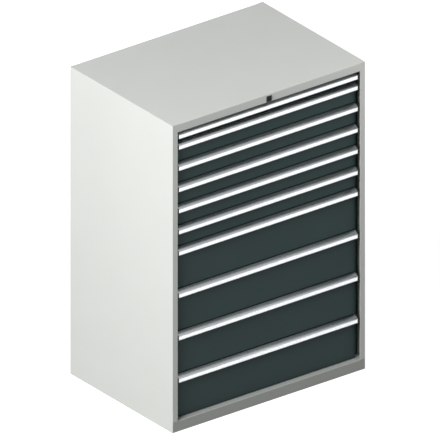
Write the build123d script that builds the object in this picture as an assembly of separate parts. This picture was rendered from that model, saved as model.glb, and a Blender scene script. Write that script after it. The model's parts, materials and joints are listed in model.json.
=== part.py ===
from build123d import *
import os
from math import cos, hypot, radians, sin

# Industrial drawer cabinet: a welded sheet-steel housing with ten drawers on
# full-extension roller slides, aluminium handle strips and one central lock.
# Millimetres. +X is right when facing the fronts, -Y is the front, +Z is up.
# The origin is the middle of the underside of the overall box.

# How far a cut runs past the surface that it opens
cut_margin = 1.0

# Overall sizes
overall_width = 1023.0
housing_depth = 718.0
handle_setback = 3.0

# Heights, from the floor up
plinth_height = 50.0
bottom_gap = 8.0
height_unit = 50.0
drawer_units = [1, 2, 2, 2, 2, 2, 4, 4, 4, 4]
top_gap = 4.0
top_front_height = 38.0

# Housing sheet metal
housing_sheet = 1.5
bend_radius = 2.5
frame_flange = 27.0
rear_flange = 20.0
top_return_depth = 28.0
top_rear_fold = 30.0
plinth_top_depth = 30.0
plinth_foot_depth = 40.0
runner_width = 40.0
fixing_hole_radius = 6.5
fixing_hole_inset = 51.5
crossmember_depth = 24.0
stiffener_width = 60.0
stiffener_height = 20.0
stiffener_lip = 15.0

# Slotted uprights that the slides hook into
upright_sheet = 2.0
upright_depth = 40.0
front_upright_setback = 55.5
rear_upright_setback = 42.5
slots_per_unit = 2
slot_height = 12.0
hook_thickness = 3.0
hook_height = 8.0
hook_finger = 5.0
hook_clearance = 0.5

# Roller slides
slide_height = 30.0
slide_lift = 8.0
slide_sheet = 1.5
slide_flange = 9.5
slide_front_gap = 0.5
slide_rear_setback = 37.5
carriage_bar_thickness = 3.0
carriage_bar_height = 26.0
carriage_front_gap = 5.0
carriage_rear_gap = 19.0
roller_width = 6.0
roller_side_gap = 0.4
roller_rail_gap = 0.3
stud_diameter = 6.0
stud_bore_clearance = 0.05
stud_head_diameter = 10.0
stud_head_thickness = 1.0
stud_head_gap = 0.2
stud_end_gap = 1.65
roller_end_margin = 20.0
roller_hold_margin = 40.0
stop_length = 10.0
stop_height = 16.0
stop_gap = 0.5
stop_side_gap = 0.5

# Drawers
tray_sheet = 1.0
tray_corner_radius = 3.0
rear_space = 63.0
tray_lift = 6.0
tray_headroom = 10.0
front_recess = 25.0
front_thickness = 16.0
front_sheet = 1.25
front_side_gap = 7.5
front_gap = 4.5
front_edge_radius = 1.0
extension_shortfall = 15.0

# Handle strips
handle_side_gap = 1.5
handle_wall = 1.6
handle_leg = 16.0
handle_slope_drop = 12.7
handle_face_height = 18.9
handle_lip_height = 2.0
handle_lip_depth = 1.0
handle_rim = 0.8
label_thickness = 0.8
cover_thickness = 0.8
label_edge_clearance = 0.2
cap_width = 8.0
cap_edge_radius = 1.5

# Central lock
lock_height_below_top = 21.5
lock_face = 26.0
lock_face_thickness = 3.0
lock_barrel_diameter = 15.0
lock_barrel_hole_clearance = 0.2
lock_barrel_length = 26.5
plug_diameter = 11.0
plug_clearance = 0.05
plug_proud = 0.5
keyway_width = 2.0
keyway_height = 8.0
keyway_depth = 12.0
lock_nut_across_flats = 18.0
lock_nut_thickness = 5.0
cam_rest_angle = 45.0
cam_thickness = 2.0
cam_width = 12.0
cam_pin_diameter = 4.0
link_gap = 2.0
link_thickness = 2.5
link_height = 14.0
link_overhang = 8.0
link_pin_diameter = 5.0
lock_play = 0.3
bar_travel = 7.0
link_travel = 14.0
bar_width = 12.0
bar_thickness = 4.0
bar_inset = 1.5
bar_foot_gap = 20.0
bar_front_setback = 37.5
bar_head_thickness = 3.0
bar_head_margin = 6.0
bar_head_lap = 3.5
tab_height = 4.0
tab_thickness = 4.0
tab_drop = 7.5
tab_gap = 2.0
tab_side_gap = 0.5
catch_reach = 12.5
catch_width = 5.5
catch_height = 5.0
catch_thickness = 1.5
catch_plate = 2.0
guide_height = 12.0
guide_wall = 2.5
guide_drop = 30.0
guided_modules = [1, 5, 9]
link_guide_shares = [0.45, 0.85]

# Places worked out from the sizes
lock_projection = lock_face_thickness + plug_proud
overall_depth = housing_depth + lock_projection
half_width = overall_width / 2
rear_plane = overall_depth / 2
front_plane = lock_projection - overall_depth / 2
modules_bottom = plinth_height + bottom_gap
modules_top = modules_bottom + height_unit * sum(drawer_units)
overall_height = modules_top + top_gap + top_front_height
inside_half_width = half_width - housing_sheet
opening_half_width = half_width - frame_flange
roller_reach = roller_side_gap + roller_width + stud_head_gap + stud_head_thickness
slide_half_space = carriage_bar_thickness / 2 + roller_reach + stud_end_gap + slide_sheet
tray_half_width = opening_half_width - 2 * slide_half_space
usable_width = 2 * (tray_half_width - tray_sheet)
front_face = front_plane + front_recess
front_back = front_face + front_thickness
tray_rear = rear_plane - rear_space
usable_depth = tray_rear - front_back - 2 * tray_sheet
drawer_travel = tray_rear - front_plane - extension_shortfall
carriage_travel = drawer_travel / 2
catch_rear = front_back + catch_reach
slide_front = catch_rear + slide_front_gap
slide_rear = rear_plane - slide_rear_setback
front_upright_front = front_plane + front_upright_setback
rear_upright_front = rear_plane - rear_upright_setback - upright_depth
top_front_bottom = overall_height - top_front_height
slot_pitch = height_unit / slots_per_unit
hook_lift = slide_lift + (slide_height - slot_pitch) / 2
lock_height = overall_height - lock_height_below_top
slide_middle = opening_half_width - slide_half_space
roller_radius = (slide_height - 2 * slide_sheet - 2 * roller_rail_gap) / 2


def drawer_tops():
    """Heights of the tops of the ten drawer modules, from the top one down."""
    tops = [modules_top]
    for units in drawer_units[:-1]:
        tops.append(tops[-1] - units * height_unit)
    return tops


def block(x, y, z):
    """A box between two limits along each axis."""
    size = [abs(pair[1] - pair[0]) for pair in (x, y, z)]
    middle = [(pair[0] + pair[1]) / 2 for pair in (x, y, z)]
    return Pos(*middle) * Box(*size)


def rod(point, radius, length, direction):
    """A cylinder that starts at a point and runs along a direction."""
    return extrude(Plane(point, z_dir=direction) * Circle(radius), amount=length)


def folded_sheet(points, thickness, radius, plane, start, end, side=Side.LEFT):
    """A bent sheet: its outer line on a plane, and its span across that plane."""
    path = FilletPolyline(*points, radius=radius)
    outline = path.offset_2d(thickness, side=side, closed=True)
    section = make_face(outline.edges())
    return extrude(plane.offset(start) * section, amount=end - start)


def mirrored_x(shape):
    """The same piece on the other side of the cabinet."""
    return mirror(shape, about=Plane.YZ)


def save(name, *pieces):
    """Writes the solids of one node to its STEP file."""
    solids = [solid for piece in pieces for solid in piece.solids()]
    shape = solids[0] if len(solids) == 1 else Compound(children=solids)
    shape.label = name
    export_step(shape, f"parts/{name}.step")


def side_panel():
    """Right side panel: front and rear flanges folded in, notched at the plinth."""
    outer_line = [
        (opening_half_width, front_plane),
        (half_width, front_plane),
        (half_width, rear_plane),
        (half_width - rear_flange, rear_plane),
    ]
    panel = folded_sheet(
        outer_line, housing_sheet, bend_radius, Plane.XY, 0, overall_height
    )
    for edge, inward in ((front_plane, 1), (rear_plane, -1)):
        panel -= block(
            (0, inside_half_width),
            (edge, edge + inward * bend_radius),
            (0, plinth_height),
        )
    return panel


def top_panel():
    """Top, folded down at the front into the rail that carries the lock."""
    outer_line = [
        (front_plane + top_return_depth, top_front_bottom),
        (front_plane, top_front_bottom),
        (front_plane, overall_height),
        (rear_plane, overall_height),
        (rear_plane, overall_height - top_rear_fold),
    ]
    panel = folded_sheet(
        outer_line,
        housing_sheet,
        bend_radius,
        Plane.YZ,
        -inside_half_width,
        inside_half_width,
        Side.RIGHT,
    )
    whole = (0, overall_height + cut_margin)
    corner = half_width - bend_radius
    notches = [
        (opening_half_width, front_plane, front_plane + housing_sheet, whole),
        (corner, front_plane, front_plane + bend_radius, whole),
        (
            opening_half_width,
            front_plane,
            front_plane + top_return_depth,
            (0, overall_height - bend_radius),
        ),
        (half_width - rear_flange, rear_plane - housing_sheet, rear_plane, whole),
        (corner, rear_plane - bend_radius, rear_plane, whole),
    ]
    for inner, front, rear, z in notches:
        for sign in (-1, 1):
            panel -= block((sign * inner, sign * half_width), (front, rear), z)
    return panel - lock_hole()


def lock_hole():
    """The round hole that the lock barrel passes through."""
    radius = lock_barrel_diameter / 2 + lock_barrel_hole_clearance
    start = (0, front_plane - cut_margin, lock_height)
    return rod(start, radius, top_return_depth, (0, 1, 0))


def rear_panel():
    """Rear panel, spot-welded to the inside of the rear flanges."""
    half = half_width - bend_radius
    return block(
        (-half, half),
        (rear_plane - 2 * housing_sheet, rear_plane - housing_sheet),
        (plinth_height, overall_height - bend_radius),
    )


def floor_panel():
    """Bottom sheet of the housing, between the two plinth profiles."""
    return block(
        (-inside_half_width, inside_half_width),
        (front_plane + plinth_top_depth, rear_plane - plinth_top_depth),
        (plinth_height - housing_sheet, plinth_height),
    )


def plinth_profile():
    """Front plinth: its top is the ledge under the drawers, its foot is drilled."""
    outer_line = [
        (front_plane + plinth_top_depth, plinth_height),
        (front_plane, plinth_height),
        (front_plane, 0),
        (front_plane + plinth_foot_depth, 0),
    ]
    profile = folded_sheet(
        outer_line,
        housing_sheet,
        bend_radius,
        Plane.YZ,
        -inside_half_width,
        inside_half_width,
    )
    for sign in (-1, 1):
        place = (
            sign * (half_width - fixing_hole_inset),
            front_plane + plinth_foot_depth / 2,
            -cut_margin,
        )
        length = housing_sheet + 2 * cut_margin
        profile -= rod(place, fixing_hole_radius, length, (0, 0, 1))
    return profile


def plinth():
    """Front and rear plinth profiles and the two side runners between them."""
    front = plinth_profile()
    middle = (front_plane + rear_plane) / 2
    rear = mirror(front, about=Plane.XZ.offset(-middle))
    outer_line = [
        (inside_half_width, 0),
        (inside_half_width - runner_width, 0),
        (inside_half_width - runner_width, plinth_height - housing_sheet),
        (inside_half_width, plinth_height - housing_sheet),
    ]
    runner = folded_sheet(
        outer_line,
        housing_sheet,
        bend_radius,
        Plane.XZ,
        plinth_foot_depth - rear_plane,
        -plinth_foot_depth - front_plane,
        Side.RIGHT,
    )
    return [front, rear, runner, mirrored_x(runner)]


def front_crossmember():
    """Channel welded inside the front fold of the top, where the lock is fixed."""
    top = overall_height - housing_sheet
    bottom = top_front_bottom + housing_sheet
    front = front_plane + housing_sheet
    outer_line = [
        (front + crossmember_depth, bottom),
        (front, bottom),
        (front, top),
        (front + crossmember_depth, top),
    ]
    channel = folded_sheet(
        outer_line,
        housing_sheet,
        bend_radius,
        Plane.YZ,
        -opening_half_width,
        opening_half_width,
        Side.RIGHT,
    )
    return channel - lock_hole()


def top_stiffener():
    """Hat-shaped stiffener across the underside of the top."""
    top = overall_height - housing_sheet
    bottom = top - stiffener_height
    half = stiffener_width / 2
    outer_line = [
        (-half - stiffener_lip, top),
        (-half, top),
        (-half, bottom),
        (half, bottom),
        (half, top),
        (half + stiffener_lip, top),
    ]
    return folded_sheet(
        outer_line,
        housing_sheet,
        bend_radius,
        Plane.YZ,
        -opening_half_width,
        opening_half_width,
        Side.RIGHT,
    )


def upright(front):
    """Right upright: an open channel with a column of hook slots in its face."""
    outer_line = [
        (inside_half_width, front),
        (opening_half_width, front),
        (opening_half_width, front + upright_depth),
        (inside_half_width, front + upright_depth),
    ]
    top = overall_height - housing_sheet
    channel = folded_sheet(
        outer_line,
        upright_sheet,
        bend_radius,
        Plane.XY,
        plinth_height,
        top,
        Side.RIGHT,
    )
    slot = Box(
        2 * (upright_sheet + cut_margin),
        hook_thickness + 2 * hook_clearance,
        slot_height,
    )
    middle = front + upright_depth / 2
    count = slots_per_unit * sum(drawer_units)
    heights = [modules_bottom + hook_lift + slot_pitch * step for step in range(count)]
    return channel - [Pos(opening_half_width, middle, z) * slot for z in heights]


def slide_channel(web, inward, bottom, front, rear):
    """A C-shaped rail: the back of its web, the way it opens, and its span."""
    top = bottom + slide_height
    outer_line = [
        (web + inward * slide_flange, bottom),
        (web, bottom),
        (web, top),
        (web + inward * slide_flange, top),
    ]
    side = Side.LEFT if inward < 0 else Side.RIGHT
    rail = folded_sheet(
        outer_line, slide_sheet, bend_radius, Plane.XZ, -rear, -front, side
    )
    return rail


def cabinet_rail(module_bottom):
    """Right fixed rail of one drawer, with the hooks that hold it in the uprights."""
    bottom = module_bottom + slide_lift
    rail = slide_channel(opening_half_width, -1, bottom, slide_front, slide_rear)
    back = opening_half_width + upright_sheet + hook_clearance
    half = hook_thickness / 2
    for upright_front in (front_upright_front, rear_upright_front):
        middle = upright_front + upright_depth / 2
        for step in range(slots_per_unit):
            z = module_bottom + hook_lift + slot_pitch * step
            low = z - slot_height / 2 + hook_clearance
            rail += block(
                (opening_half_width - slide_sheet, back + slide_sheet),
                (middle - half, middle + half),
                (low, low + hook_height),
            )
            rail += block(
                (back, back + slide_sheet),
                (middle - half, middle + half),
                (low - hook_finger, low + hook_height),
            )
    return rail


def rail_stops(module_bottom):
    """Front and rear stops fixed in one right cabinet rail."""
    middle = module_bottom + slide_lift + slide_height / 2
    channel = opening_half_width - slide_sheet
    x = (slide_middle + carriage_bar_thickness / 2 + stop_side_gap, channel)
    z = (middle - stop_height / 2, middle + stop_height / 2)
    first = outer_roller_places()[0] - carriage_travel - roller_radius - stop_gap
    last = outer_roller_places()[-1] + roller_radius + stop_gap
    return [
        block(x, (first - stop_length, first), z),
        block(x, (last, last + stop_length), z),
    ]


def outer_roller_places():
    """Rollers in the cabinet rail, held in it over the whole travel."""
    front = slide_front + carriage_travel + roller_hold_margin
    rear = slide_rear - carriage_rear_gap - roller_radius + slide_sheet
    return [front, rear]


def inner_roller_places():
    """Rollers in the drawer rail, held in it over the whole travel."""
    front = slide_front + carriage_front_gap + roller_end_margin
    rear = tray_rear - carriage_travel - roller_end_margin
    return [front, rear]


def roller_and_stud(y, z, outward):
    """One roller and the headed stud that it turns on, beside the carriage bar."""
    face = slide_middle + outward * carriage_bar_thickness / 2
    direction = (outward, 0, 0)
    roller_start = face + outward * roller_side_gap
    roller = rod((roller_start, y, z), roller_radius, roller_width, direction)
    bore = stud_diameter / 2 + stud_bore_clearance
    roller -= rod((roller_start, y, z), bore, roller_width, direction)
    shank = roller_side_gap + roller_width + stud_head_gap
    stud = rod((face, y, z), stud_diameter / 2, shank, direction)
    head_start = face + outward * shank
    head_radius = stud_head_diameter / 2
    stud += rod((head_start, y, z), head_radius, stud_head_thickness, direction)
    return [roller, stud]


def carriage(module_bottom):
    """Right intermediate carriage: a bar with rollers on both of its faces."""
    middle = module_bottom + slide_lift + slide_height / 2
    half_thickness = carriage_bar_thickness / 2
    half_height = carriage_bar_height / 2
    bar = block(
        (slide_middle - half_thickness, slide_middle + half_thickness),
        (slide_front + carriage_front_gap, slide_rear - carriage_rear_gap),
        (middle - half_height, middle + half_height),
    )
    pieces = [bar]
    for y in outer_roller_places():
        pieces += roller_and_stud(y, middle, 1)
    for y in inner_roller_places():
        pieces += roller_and_stud(y, middle, -1)
    return pieces


def tray(module_bottom, module_top):
    """Welded drawer tray: floor and four walls, open above."""
    y_middle = (front_back + tray_rear) / 2
    depth = tray_rear - front_back
    bottom = module_bottom + tray_lift
    height = module_top - tray_headroom - bottom
    outer = RectangleRounded(2 * tray_half_width, depth, tray_corner_radius)
    inner = RectangleRounded(
        usable_width, usable_depth, tray_corner_radius - tray_sheet
    )
    shell = extrude(Pos(0, y_middle, bottom) * outer, amount=height)
    return shell - extrude(Pos(0, y_middle, bottom + tray_sheet) * inner, amount=height)


def drawer_rail(module_bottom):
    """Right rail welded to the tray wall, open towards the carriage."""
    bottom = module_bottom + slide_lift
    front = front_back + tray_corner_radius
    rear = tray_rear
    return slide_channel(tray_half_width, 1, bottom, front, rear)


def front_panel(lower_edge, module_top):
    """Drawer front: a folded pan, open at the back."""
    half = opening_half_width - front_side_gap
    middle = (lower_edge + module_top) / 2
    height = module_top - lower_edge
    pan = Pos(0, (front_face + front_back) / 2, middle) * Box(
        2 * half, front_thickness, height
    )
    face_edges = pan.faces().sort_by(Axis.Y)[0].edges()
    pan = fillet(face_edges, front_edge_radius)
    return pan - Pos(0, (front_face + front_back) / 2 + front_sheet, middle) * Box(
        2 * (half - front_sheet), front_thickness, height - 2 * front_sheet
    )


def handle_section(outline_only):
    """Handle profile seen from its right end: u is out from the front, v is up."""
    depth = front_recess - handle_setback
    drop = handle_slope_drop
    foot = drop + handle_face_height
    lip = depth - handle_lip_depth
    groove = lip - label_thickness - cover_thickness - label_edge_clearance
    back = groove - handle_wall
    if outline_only:
        points = [
            (0, 0),
            (depth, -drop),
            (depth, -foot),
            (back, -foot),
            (back, -drop - handle_wall),
            (handle_wall, -handle_wall - handle_slope_drop * handle_wall / depth),
            (handle_wall, -handle_leg),
            (0, -handle_leg),
        ]
    else:
        upper = -drop - handle_lip_height
        lower = -foot + handle_lip_height
        points = [
            (0, 0),
            (depth, -drop),
            (depth, upper),
            (lip, upper),
            (lip, upper + handle_lip_height - handle_rim),
            (groove, upper + handle_lip_height - handle_rim),
            (groove, lower - handle_lip_height + handle_rim),
            (lip, lower - handle_lip_height + handle_rim),
            (lip, lower),
            (depth, lower),
            (depth, -foot),
            (back, -foot),
            (back, -drop - handle_wall),
            (handle_wall, -handle_wall - handle_slope_drop * handle_wall / depth),
            (handle_wall, -handle_leg),
            (0, -handle_leg),
        ]
    return points


def along_front(points, module_top, left, right):
    """Extrudes a handle section between two places along the drawer front."""
    outline = [(front_face - u, module_top + v) for u, v in points]
    face = make_face(Polyline(*outline, close=True).edges())
    return extrude(Plane.YZ.offset(left) * face, amount=right - left)


def handle(module_top):
    """Handle strip: profile, label strip, clear cover and two end caps."""
    end = opening_half_width - handle_side_gap
    inner = end - cap_width
    profile = along_front(handle_section(False), module_top, -inner, inner)
    depth = front_recess - handle_setback
    lip = depth - handle_lip_depth
    high = -handle_slope_drop - handle_rim - label_edge_clearance
    low = high - handle_face_height + 2 * (handle_rim + label_edge_clearance)
    cover_back = lip - cover_thickness
    label_back = cover_back - label_thickness
    cover = along_front(
        [(cover_back, high), (lip, high), (lip, low), (cover_back, low)],
        module_top,
        -inner,
        inner,
    )
    label = along_front(
        [(label_back, high), (cover_back, high), (cover_back, low), (label_back, low)],
        module_top,
        -inner,
        inner,
    )
    cap = along_front(handle_section(True), module_top, inner, end)
    outer_edges = cap.faces().sort_by(Axis.Y)[0].edges().filter_by(Axis.Z)
    cap = fillet(outer_edges.sort_by(Axis.X)[-1], cap_edge_radius)
    return [profile, label, cover, cap, mirrored_x(cap)]


def lock_housing():
    """Square lock face and the barrel behind it, bored for the plug."""
    half = lock_face / 2
    face = block(
        (-half, half),
        (front_plane - lock_face_thickness, front_plane),
        (lock_height - half, lock_height + half),
    )
    face = fillet(face.edges().filter_by(Axis.Y), bend_radius)
    front = front_plane - lock_face_thickness
    barrel_radius = lock_barrel_diameter / 2
    barrel = rod(
        (0, front_plane, lock_height), barrel_radius, lock_barrel_length, (0, 1, 0)
    )
    bore = rod(
        (0, front, lock_height),
        plug_diameter / 2 + plug_clearance,
        lock_barrel_length + lock_face_thickness,
        (0, 1, 0),
    )
    return face + barrel - bore


def lock_nut():
    """Nut that clamps the lock barrel to the crossmember."""
    start = front_plane + 2 * housing_sheet
    hexagon = RegularPolygon(lock_nut_across_flats / 2, 6, major_radius=False)
    ring = hexagon - Circle(lock_barrel_diameter / 2)
    plane = Plane((0, start, lock_height), x_dir=(1, 0, 0), z_dir=(0, 1, 0))
    return extrude(plane * ring, amount=lock_nut_thickness)


def lock_plug():
    """Plug that the key turns; its keyway is upright in the unlocked position."""
    front = front_plane - lock_face_thickness - plug_proud
    rear = front_plane + lock_barrel_length
    plug = rod(
        (0, front, lock_height), plug_diameter / 2, rear - front, (0, 1, 0)
    )
    return plug - block(
        (-keyway_width / 2, keyway_width / 2),
        (front - cut_margin, front + keyway_depth),
        (lock_height - keyway_height / 2, lock_height + keyway_height / 2),
    )


def cam_places():
    """Cam reach, and the place of the cam's pin in the unlocked position."""
    reach = link_travel / (2 * sin(radians(cam_rest_angle)))
    return reach, -link_travel / 2, lock_height + reach * cos(radians(cam_rest_angle))


cam_reach, cam_pin_x, cam_pin_z = cam_places()
cam_front = front_plane + lock_barrel_length
link_front = cam_front + cam_thickness + link_gap
link_rear = link_front + link_thickness
link_middle = (cam_pin_z + lock_height + cam_reach) / 2
bar_inner = opening_half_width + bar_inset
bar_outer = bar_inner + bar_thickness
bar_front = front_plane + bar_front_setback
link_pin_x = (bar_inner + bar_outer - link_travel) / 2
link_pin_z = link_middle - link_height / 2 + link_pin_diameter / 2 + lock_play
catch_outer = opening_half_width - front_side_gap
catch_inner = catch_outer - catch_width
tab_inner = slide_middle + carriage_bar_thickness / 2 + tab_side_gap


def round_ended(first, second, radius, y):
    """A flat strip with round ends between two places seen from the front."""
    length = y[1] - y[0]
    run = (second[0] - first[0], second[1] - first[1])
    middle = ((first[0] + second[0]) / 2, y[0], (first[1] + second[1]) / 2)
    plane = Plane(middle, x_dir=(run[0], 0, run[1]), z_dir=(0, 1, 0))
    strip = extrude(plane * Rectangle(hypot(*run), 2 * radius), amount=length)
    for x, z in (first, second):
        strip += rod((x, y[0], z), radius, length, (0, 1, 0))
    return strip


def lock_cam():
    """Cam on the rear of the plug, with the pin that drives the link."""
    rear = cam_front + cam_thickness
    centre = (0, lock_height)
    pin_place = (cam_pin_x, cam_pin_z)
    plate = round_ended(centre, pin_place, cam_width / 2, (cam_front, rear))
    length = link_gap + link_thickness + lock_play
    pin = rod((cam_pin_x, rear, cam_pin_z), cam_pin_diameter / 2, length, (0, 1, 0))
    return plate + pin


def lock_link():
    """Link from the cam to the locking bar, inside the front fold of the top."""
    half = link_height / 2
    link = block(
        (cam_pin_x - link_overhang, link_pin_x + link_overhang),
        (link_front, link_rear),
        (link_middle - half, link_middle + half),
    )
    radius = cam_pin_diameter / 2 + lock_play
    link -= block(
        (cam_pin_x - radius, cam_pin_x + radius),
        (link_front, link_rear),
        (cam_pin_z - radius, lock_height + cam_reach + radius),
    )
    length = bar_front + bar_head_thickness - link_rear + lock_play
    start = (link_pin_x, link_rear, link_pin_z)
    return link + rod(start, link_pin_diameter / 2, length, (0, 1, 0))


def locking_bar():
    """Upright bar with a slotted head for the link and a tab for each drawer."""
    head_low = link_pin_z - bar_travel - bar_head_margin
    head_y = (bar_front, bar_front + bar_head_thickness)
    bar = block(
        (bar_inner, bar_outer),
        (bar_front, bar_front + bar_width),
        (plinth_height + bar_foot_gap, head_low + bar_head_lap),
    )
    bar += block(
        (link_pin_x - bar_head_margin, link_pin_x + link_travel + bar_head_margin),
        head_y,
        (head_low, link_pin_z + bar_head_margin),
    )
    rest = (link_pin_x, link_pin_z)
    locked = (link_pin_x + link_travel, link_pin_z - bar_travel)
    bar -= round_ended(rest, locked, link_pin_diameter / 2 + lock_play, head_y)
    tab_rear = catch_rear - catch_plate - tab_gap
    for module_top in drawer_tops():
        bar += block(
            (tab_inner, bar_inner),
            (tab_rear - tab_thickness, tab_rear),
            (module_top - tab_drop - tab_height, module_top - tab_drop),
        )
    return bar


def lock_catch(module_top):
    """Catch behind the right end of a front, which the locking bar's tab blocks."""
    top = module_top - front_sheet
    z = (top - catch_height, top)
    arm_x = (catch_inner - catch_thickness, catch_inner)
    arm = block(arm_x, (front_face + front_sheet, catch_rear), z)
    plate_y = (catch_rear - catch_plate, catch_rear)
    return arm + block((catch_inner, catch_outer), plate_y, z)


def bar_guide(module_top):
    """Guide on the front upright that the locking bar slides through."""
    middle = module_top - guide_drop
    z = (middle - guide_height / 2, middle + guide_height / 2)
    guide = block(
        (opening_half_width, bar_outer + lock_play + guide_wall),
        (bar_front - lock_play - guide_wall, front_upright_front),
        z,
    )
    return guide - block(
        (bar_inner - lock_play, bar_outer + lock_play),
        (bar_front - lock_play, bar_front + bar_width + lock_play),
        z,
    )


def link_guide(x):
    """Hanger under the top that the link slides through."""
    half = link_height / 2
    low = link_middle - half - lock_play - guide_wall
    hanger = block(
        (x - guide_height / 2, x + guide_height / 2),
        (link_front - lock_play - guide_wall, link_rear + lock_play + guide_wall),
        (low, overall_height - housing_sheet),
    )
    return hanger - block(
        (x - guide_height / 2, x + guide_height / 2),
        (link_front - lock_play, link_rear + lock_play),
        (low + guide_wall, link_middle + half + lock_play),
    )


def lock_guides():
    """All the guides of the locking bar and its link."""
    tops = drawer_tops()
    pieces = [bar_guide(tops[index]) for index in guided_modules]
    return pieces + [link_guide(share * opening_half_width) for share in link_guide_shares]


def save_drawer(number, module_bottom, module_top, lower_edge):
    """Writes the four nodes of one drawer and its slides."""
    name = f"drawer_{number:02d}"
    rail = drawer_rail(module_bottom)
    right = carriage(module_bottom)
    left = [mirrored_x(piece) for piece in right]
    save(f"{name}_tray", tray(module_bottom, module_top), rail, mirrored_x(rail))
    save(f"{name}_front", front_panel(lower_edge, module_top), lock_catch(module_top))
    save(f"{name}_handle", *handle(module_top))
    save(f"{name}_carriages", *right, *left)


def save_housing(module_bottoms):
    """Writes the fixed nodes of the housing and its rails."""
    panel = side_panel()
    save("right_side_panel", panel)
    save("left_side_panel", mirrored_x(panel))
    save("top_panel", top_panel())
    save("rear_panel", rear_panel())
    save("floor_panel", floor_panel())
    save("plinth", *plinth())
    save("front_crossmember", front_crossmember())
    save("top_stiffener", top_stiffener())
    front = upright(front_upright_front)
    rear = upright(rear_upright_front)
    save("front_uprights", front, mirrored_x(front))
    save("rear_uprights", rear, mirrored_x(rear))
    rails = [cabinet_rail(bottom) for bottom in module_bottoms]
    stops = [stop for bottom in module_bottoms for stop in rail_stops(bottom)]
    save("cabinet_rails_right", *rails)
    save("cabinet_rails_left", *[mirrored_x(rail) for rail in rails])
    save("rail_stops", *stops, *[mirrored_x(stop) for stop in stops])


def save_lock():
    """Writes the central lock and the linkage that reaches every drawer."""
    save("lock_housing", lock_housing())
    save("lock_nut", lock_nut())
    save("lock_plug", lock_plug())
    save("lock_cam", lock_cam())
    save("lock_link", lock_link())
    save("locking_bar", locking_bar())
    save("lock_guides", *lock_guides())


def main():
    """Builds every node of the cabinet."""
    os.makedirs("parts", exist_ok=True)
    tops = drawer_tops()
    bottoms = tops[1:] + [modules_bottom]
    ledges = tops[1:] + [plinth_height]
    save_housing(bottoms)
    save_lock()
    for index, top in enumerate(tops):
        save_drawer(index + 1, bottoms[index], top, ledges[index] + front_gap)


main()
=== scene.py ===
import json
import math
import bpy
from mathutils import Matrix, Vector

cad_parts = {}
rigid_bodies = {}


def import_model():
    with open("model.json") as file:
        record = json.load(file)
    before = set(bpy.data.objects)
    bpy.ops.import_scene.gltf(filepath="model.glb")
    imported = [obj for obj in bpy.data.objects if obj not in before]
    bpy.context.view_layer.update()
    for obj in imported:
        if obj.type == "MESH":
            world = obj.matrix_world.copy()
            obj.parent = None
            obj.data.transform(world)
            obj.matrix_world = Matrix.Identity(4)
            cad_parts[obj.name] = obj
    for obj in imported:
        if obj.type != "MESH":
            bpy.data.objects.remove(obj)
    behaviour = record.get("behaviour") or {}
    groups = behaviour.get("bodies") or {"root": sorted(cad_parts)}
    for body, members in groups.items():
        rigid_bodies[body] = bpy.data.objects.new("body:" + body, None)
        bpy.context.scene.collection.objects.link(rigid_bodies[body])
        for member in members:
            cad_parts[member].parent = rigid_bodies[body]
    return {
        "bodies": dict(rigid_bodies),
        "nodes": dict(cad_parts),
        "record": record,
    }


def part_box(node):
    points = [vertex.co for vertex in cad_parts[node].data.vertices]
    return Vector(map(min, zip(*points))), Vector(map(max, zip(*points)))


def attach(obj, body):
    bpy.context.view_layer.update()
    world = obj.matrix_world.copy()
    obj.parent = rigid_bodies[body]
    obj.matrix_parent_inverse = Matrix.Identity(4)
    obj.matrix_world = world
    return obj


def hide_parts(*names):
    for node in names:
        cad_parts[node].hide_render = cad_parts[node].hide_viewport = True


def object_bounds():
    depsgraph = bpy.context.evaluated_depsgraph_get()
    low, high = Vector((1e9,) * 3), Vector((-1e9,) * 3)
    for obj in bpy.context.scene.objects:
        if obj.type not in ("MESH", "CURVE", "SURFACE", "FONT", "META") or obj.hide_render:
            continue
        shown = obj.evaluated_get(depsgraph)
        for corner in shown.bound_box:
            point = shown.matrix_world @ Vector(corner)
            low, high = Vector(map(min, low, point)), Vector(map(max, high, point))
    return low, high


bl_info = {
    "name": "Drawer cabinet",
    "version": (1, 0, 0),
    "blender": (4, 5, 0),
    "location": "View3D > Sidebar > Cabinet",
    "description": "Finishes, handle strips, slotted trays, lock face, weld marks and studio",
    "category": "Object",
}

import bpy
from mathutils import Vector

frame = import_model()
cad_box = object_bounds()

# Names and places that the frame gives
drawer_names = sorted(body for body in frame["bodies"] if body.startswith("drawer_") and body.count("_") == 1)
first_handle_low, first_handle_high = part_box("drawer_01_handle")
first_tray_low, first_tray_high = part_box("drawer_01_tray")
first_pan_low, first_pan_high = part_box("drawer_01_front")
lock_low, lock_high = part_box("lock_housing")
plug_low, plug_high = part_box("lock_plug")

# Widths of the rounded edges
profile_edge = 0.00025
label_edge = 0.0001
cover_edge = 0.0002
cap_edge = 0.0006
hem_edge = 0.0008
rail_edge = 0.0004
lock_face_edge = 0.0006
collar_edge = 0.0004

# Lock face: radii, the plug's play, and how far cutters and joined pieces overlap
lock_corner = 0.0025
collar_radius = 0.0088
barrel_radius = 0.0075
plug_play = 0.00005
join_overlap = 0.0005
cut_overlap = 0.005

# Carriages: from the bar's middle to a roller's inner and outer face and to a stud's end
roller_near = 0.0017
roller_far = 0.0080
stud_reach = 0.0091

# Lamps: places and aim from the cabinet's centre, and widths
key_place = Vector((-6.4, -2.0, 3.85))
rear_place = Vector((5.2, 5.6, 0.4))
fill_place = Vector((1.1, -1.5, 1.25))
fill_aim = Vector((0.35, -0.3, 0.4))
large_lamp = 4.2
small_lamp = 0.7

# Floor and camera
floor_drop = 0.0002
camera_distance = 6
camera_reach = 60


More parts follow.
